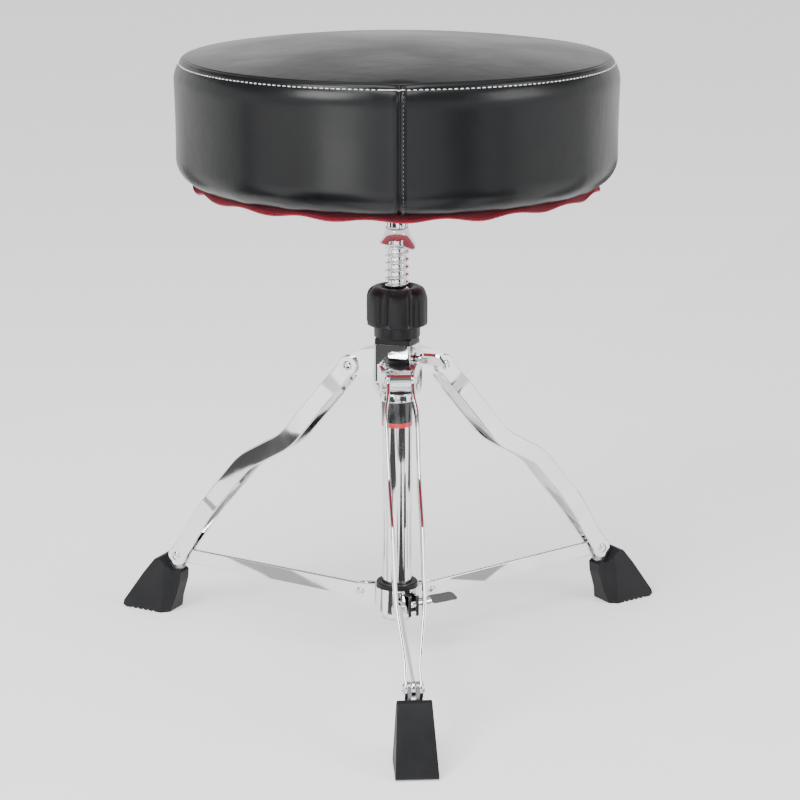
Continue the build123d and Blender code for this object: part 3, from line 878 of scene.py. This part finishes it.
def makeBell():
    # flared skirt; two opposite stretches of its rim sweep out and down by a bell of the angle,
    # times the share of sway that each point of the profile has
    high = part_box("spindle_bell")[1].z
    bore = spindleLook["stub"] + bellLook["fit"]
    outer = np.array([
        (bore, 0), (0.0104, -0.0002), (0.0108, -0.0008), (0.011, -0.003), (0.01145, -0.0058),
        (0.0123, -0.0082), (0.01345, -0.0106), (0.0148, -0.0128), (0.01605, -0.0143), (0.01635, -0.0149),
        (0.0161, -0.0154), (0.0153, -0.0152), (0.0142, -0.014), (0.0128, -0.0126), (0.0112, -0.012),
        (bore, -0.012), (bore, -0.006), (bore, 0),
    ])
    sway = np.array([0, 0, 0, 0, 0.02, 0.1, 0.28, 0.6, 0.92, 1, 1, 0.85, 0.5, 0.15, 0, 0, 0, 0])
    turn = np.linspace(0, 2 * np.pi, 144, endpoint=False)
    wings = sum(bell((np.degrees(turn) - angle + 180) % 360 - 180, bellLook["wingWidth"])
                for angle in bellLook["wingAngles"])
    radius = outer[:, :1] + sway[:, None] * wings * bellLook["wingOut"]
    height = high + outer[:, 1:] - sway[:, None] * wings * bellLook["wingDown"]
    grid = np.stack([radius * np.cos(turn), radius * np.sin(turn), height], -1)
    standFor(surface("spindleBell", [grid], finishes["chrome"]), "spindle", "chrome", "spindle_bell")


guideLook = {"bore": 0.00255}


def makeGuide():
    white = finishes["whitePlastic"]
    ringLike("spindle_guide", guideLook["bore"], white, "white_plastic", "spindle", 0.0006, "spindleGuide")
    copyOf("spindle_guide_screw", "guideScrew", "spindle", "zinc", finishes["zinc"], 0.0004)


makeSpindle()
makeBell()
makeGuide()
print("spindle ready")

# ---- height knob

knobLook = {
    "radius": 0.0286, "bore": 0.0122, "lobes": 6, "valleyRadius": 0.0065, "valleyAt": 0.0312,
    "smooth": 2, "cols": 288, "nutFit": 0.00007, "skirtPoints": 6, "flatTopFrom": 21,
}


def lobeShape(turn, radius):
    # share of the full radius left by round valleys, with the corners eased by a running mean
    step = 2 * np.pi / knobLook["lobes"]
    away = (turn + step / 2) % step - step / 2
    at, size = knobLook["valleyAt"], knobLook["valleyRadius"]
    inside = np.clip(size ** 2 - (at * np.sin(away)) ** 2, 0, None)
    valley = np.where(inside > 0, at * np.cos(away) - np.sqrt(inside), radius)
    shape = np.minimum(valley, radius) / radius
    reach = knobLook["smooth"]
    return sum(np.roll(shape, shift) for shift in range(-reach, reach + 1)) / (2 * reach + 1)


def makeKnob():
    low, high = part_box("height_knob")
    full, bore, top = knobLook["radius"], knobLook["bore"], high.z
    outline = np.array([
        (bore, low.z + 0.0006), (bore + 0.0006, low.z), (0.0205, low.z), (0.0211, low.z + 0.0003),
        (0.0213, low.z + 0.0009), (0.0213, 0.3196), (0.0216, 0.3206), (0.0224, 0.321), (0.0272, 0.3212),
        (0.0281, 0.3216), (full, 0.3226), (full, 0.326), (full, 0.332), (full, 0.338), (full, 0.3425),
        (0.0285, 0.346), (0.0279, 0.3492), (0.0268, 0.3517), (0.0252, 0.3537), (0.0232, 0.3551),
        (0.0212, 0.3561), (0.0192, top), (0.0162, top), (0.0152, top - 0.0004), (0.0145, top - 0.0012),
        (0.0128, top - 0.0046), (bore, top - 0.006), (bore, 0.33), (bore, low.z + 0.0006),
    ])
    # the lobes are only in the head: none in the skirt or on the flat top
    weight = np.interp(outline[:, 0], [0.0212, 0.0224, 0.026], [0, 0.45, 1])
    weight[:knobLook["skirtPoints"]] = 0
    weight[knobLook["flatTopFrom"]:] = 0
    turn = np.linspace(0, 2 * np.pi, knobLook["cols"], endpoint=False)
    lobes = lobeShape(turn, full)
    radius = outline[:, :1] * (1 - weight[:, None] * (1 - lobes))
    height = np.repeat(outline[:, 1:], len(turn), 1)
    grid = np.stack([radius * np.cos(turn), radius * np.sin(turn), height], -1)
    piece = sharpen(surface("heightKnob", [grid], finishes["blackPlastic"]), 55)
    standFor(piece, "knob", "black_plastic", "height_knob")
    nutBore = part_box("spindle")[1].x + knobLook["nutFit"]
    ringLike("spindle_nut", nutBore, finishes["brass"], "brass", "knob", 0.0006, "brassNut")


makeKnob()
print("knob ready")

# ---- column and crown

columnLook = {"bore": 0.0124, "sleeve": 0.01405, "bushBore": 0.01408}


def makeColumn():
    sleeve = columnLook["sleeve"]
    black = finishes["blackPlastic"]
    ringLike("main_tube", columnLook["bore"], finishes["chrome"], "chrome", edge=0.0006, name="columnTube")
    ringLike("tube_spacer", sleeve, black, "black_plastic", edge=0.0008, name="blackSpacer")
    ringLike("tube_ferrule", sleeve, finishes["chrome"], "chrome", edge=0.0016, name="chromeFerrule")
    ringLike("tube_label", sleeve, finishes["blackFilm"], "label_film", edge=0.0001, name="labelFilm")
    ringLike("tube_stripe", sleeve, finishes["redFilm"], "red_film", edge=0.0001, name="redStripe")
    copyOf("tube_end_cap", "endCap", "base", "white_plastic", finishes["whitePlastic"], 0.0008)
    copyOf("crown_casting", "crownCasting", "base", "chrome", finishes["castChrome"], 0.0009, 3)
    copyOf("crown_bush", "crownPad", "base", "black_plastic", black, 0.0006)
    copyOf("crown_screws", "crownScrews", "base", "chrome", finishes["chrome"], 0.0005, 3)
    copyOf("lug_bushes", "lugBushes", "base", "white_plastic", finishes["whitePlastic"], 0.0003)
    copyOf("lock_bolt", "lockBolt", "lock", "chrome", finishes["chrome"], 0.0009, 3)


def makeCollar():
    copyOf("collar_casting", "collarCasting", "collar", "chrome", finishes["castChrome"], 0.0008, 3)
    bore, black = columnLook["bushBore"], finishes["blackPlastic"]
    ringLike("collar_bush", bore, black, "black_plastic", "collar", 0.0012, "collarBush")
    copyOf("collar_clamp_bolt", "clampBolt", "clamp", "chrome", finishes["chrome"], 0.0009, 3)


makeColumn()
makeCollar()
print("column, crown and collar ready")

# ---- legs and struts

legLook = {
    "bends": [(0.112, 0.197), (0.158, 0.170), (0.206, 0.112)],     # distance from the axis, height
    "bendReach": 0.011, "width": 0.017, "eye": 0.0098, "thickness": 0.003, "edge": 0.0011,
    # height, outer face's distance from the leg's middle plane
    "spread": [(0.040, 0.008), (0.077, 0.008), (0.122, 0.014), (0.253, 0.0157), (0.264, 0.0127),
               (0.300, 0.0127)],
    "spacing": 0.0016,
}
strutLook = {"width": 0.015, "thickness": 0.0036, "edge": 0.001, "spacing": 0.004}
rivetLook = {
    "head": 0.0046, "headHeight": 0.0019, "shank": 0.0025, "topShank": 0.003, "topInner": 0.0097,
    "cadHead": 0.0016, "clevisFace": 0.0053,
}


def radialPlace(place):
    return (math.hypot(place[0], place[1]), place[2])


def linkagePlaces():
    low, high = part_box("leg_front_top_rivets")
    crown = (-(low.y + high.y) / 2, (low.z + high.z) / 2)
    leg = radialPlace(joints["leg_fold_front"]["pos_m"])
    collar = radialPlace(joints["strut_fold_front"]["pos_m"])
    return crown, leg, collar


def bentPath(corners, reach, spacing):
    # smooth path: each inner corner becomes a quadratic curve, then even steps along it
    corners = np.asarray(corners, float)
    inner = corners[1:-1]
    back = inner + unit(corners[:-2] - inner) * reach
    on = inner + unit(corners[2:] - inner) * reach
    t = np.linspace(0, 1, 12)[None, :, None]
    curves = (1 - t) ** 2 * back[:, None] + 2 * t * (1 - t) * inner[:, None] + t ** 2 * on[:, None]
    line = np.concatenate([corners[:1], curves.reshape(-1, 2), corners[-1:]])
    along = np.concatenate([[0], np.cumsum(np.linalg.norm(np.diff(line, axis=0), axis=1))])
    even = np.linspace(0, along[-1], int(along[-1] / spacing))
    return np.stack([np.interp(even, along, line[:, k]) for k in range(2)], -1), even


def flatBar(corners, reach, width, eye, thickness, edge, sideways, spacing):
    # rounded flat section carried along a side-view path; both ends are round eyes about the end corners
    corners = np.asarray(corners, float)
    path, even = bentPath(corners, reach, spacing)
    total = even[-1]
    ends = eye * (1 - np.cos(np.linspace(0, np.pi / 2, 9)))
    between = even[(even > 0.0005) & (even < total - 0.0005)]
    s = np.concatenate([ends - eye, between, total + eye - ends[::-1]])
    tangentStart = unit(corners[1] - corners[0])
    tangentEnd = unit(corners[-1] - corners[-2])
    centre = np.stack([np.interp(s, even, path[:, k]) for k in range(2)], -1)
    centre += np.minimum(s, 0)[:, None] * tangentStart + np.maximum(s - total, 0)[:, None] * tangentEnd
    tangent = unit(np.gradient(centre, s + np.arange(len(s)) * 1e-9, axis=0))
    across = np.stack([-tangent[:, 1], tangent[:, 0]], -1)
    fromEnd = np.minimum(np.abs(s), np.abs(s - total))
    eyeHalf = np.sqrt(np.clip(eye ** 2 - fromEnd ** 2, 0, None))
    outside = (s < 0) | (s > total)
    half = np.where(outside, eyeHalf, np.maximum(eyeHalf, width / 2))
    corner = np.minimum(edge, half * 0.98)
    arc = np.linspace(0, np.pi / 2, 4)
    quarter = np.concatenate([arc + k * np.pi / 2 for k in range(4)])
    signA = np.repeat([1, -1, -1, 1], 4)
    signB = np.repeat([1, 1, -1, -1], 4)
    a = signA * (half - corner)[:, None] + corner[:, None] * np.cos(quarter)
    b = signB * (thickness / 2 - edge) + edge * np.sin(quarter)
    offset = sideways(centre[:, 1])
    return np.stack([
        centre[:, :1] + across[:, :1] * a,
        offset[:, None] + b + 0 * a,
        centre[:, 1:] + across[:, 1:] * a,
    ], -1)


def turned(grid, degrees):
    # grid turned about the column
    turn = math.radians(degrees)
    x = grid[..., 0] * math.cos(turn) - grid[..., 1] * math.sin(turn)
    y = grid[..., 0] * math.sin(turn) + grid[..., 1] * math.cos(turn)
    return np.stack([x, y, grid[..., 2]], -1)


def plateOffset(height):
    # distance of a plate's middle from the leg's middle plane, with the cranks eased
    heights, outer = zip(*legLook["spread"])
    eased = [np.interp(height + shift, heights, outer) for shift in np.linspace(-0.005, 0.005, 9)]
    return np.mean(eased, axis=0) - legLook["thickness"] / 2


def headProfile(shank, start, face, head, rise):
    # shank from start to the plate's face, then a low dome
    dome = np.linspace(0, np.pi / 2, 8)
    domed = np.stack([head * np.cos(dome), face + 0.0002 + (rise - 0.0002) * np.sin(dome)], -1)
    return np.concatenate([[(0, start), (shank, start), (shank, face), (head - 0.0002, face)], domed])


def rivetGrids(place, shank, start, face, sides=(1, -1)):
    look = rivetLook
    profile = headProfile(shank, start, face, look["head"], look["headHeight"])
    return [around(profile, (place[0], 0, place[1]), (0, side, 0), 40) for side in sides]


def barPiece(name, grid, angle):
    return sharpen(flatFaces(surface(name, [turned(grid, angle)], finishes["chrome"])), 50)


def rivetPiece(name, grids):
    return sharpen(surface(name, grids, finishes["chrome"]))


def makeRivets(side, angle, crown, leg):
    body, look = "leg_" + side, rivetLook
    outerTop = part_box("leg_front_top_rivets")[1].x - look["cadHead"]
    tops = [turned(grid, angle) for grid in rivetGrids(crown, look["topShank"], look["topInner"], outerTop)]
    standFor(rivetPiece(f"crownRivets_{side}", tops), body, "chrome", f"leg_{side}_top_rivets")
    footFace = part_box("leg_front_foot_pin")[1].x - look["cadHead"]
    feet = [turned(grid, angle) for grid in rivetGrids(leg, look["shank"], 0, footFace)]
    standFor(rivetPiece(f"footRivet_{side}", feet), body, "chrome", f"leg_{side}_foot_pin")


def makeLeg(side, angle):
    crown, leg, collar = linkagePlaces()
    corners = [crown, *legLook["bends"], leg]
    shape = [legLook[key] for key in ("bendReach", "width", "eye", "thickness", "edge")]
    body = "leg_" + side
    for letter, sign in (("a", 1), ("b", -1)):
        bar = flatBar(corners, *shape, lambda height: sign * plateOffset(height), legLook["spacing"])
        plate = barPiece(f"legBar_{side}_{letter}", bar, angle)
        standFor(plate, body, "chrome", f"leg_{side}_plate_{letter}")
    makeRivets(side, angle, crown, leg)
    copyOf(f"foot_tongue_{side}", f"footTongue_{side}", body, "zinc", finishes["zinc"], 0.0005)
    copyOf(f"foot_{side}", f"rubberFoot_{side}", body, "rubber", finishes["rubber"], 0.0016, 3, 30)
    width, thickness, edge, spacing = (strutLook[key] for key in ("width", "thickness", "edge", "spacing"))
    bar = flatBar([collar, leg], 0, width, width / 2, thickness, edge, np.zeros_like, spacing)
    standFor(barPiece(f"strutBar_{side}", bar, angle), f"strut_{side}", "chrome", f"strut_{side}")


def makeCollarPins():
    collar = linkagePlaces()[2]
    grids = [turned(grid, angle) for angle in legAngles.values()
             for grid in rivetGrids(collar, rivetLook["shank"], 0, rivetLook["clevisFace"])]
    standFor(rivetPiece("collarPins", grids), "collar", "chrome", "collar_pins")


for legSide, legAngle in legAngles.items():
    makeLeg(legSide, legAngle)
makeCollarPins()
print("legs ready")
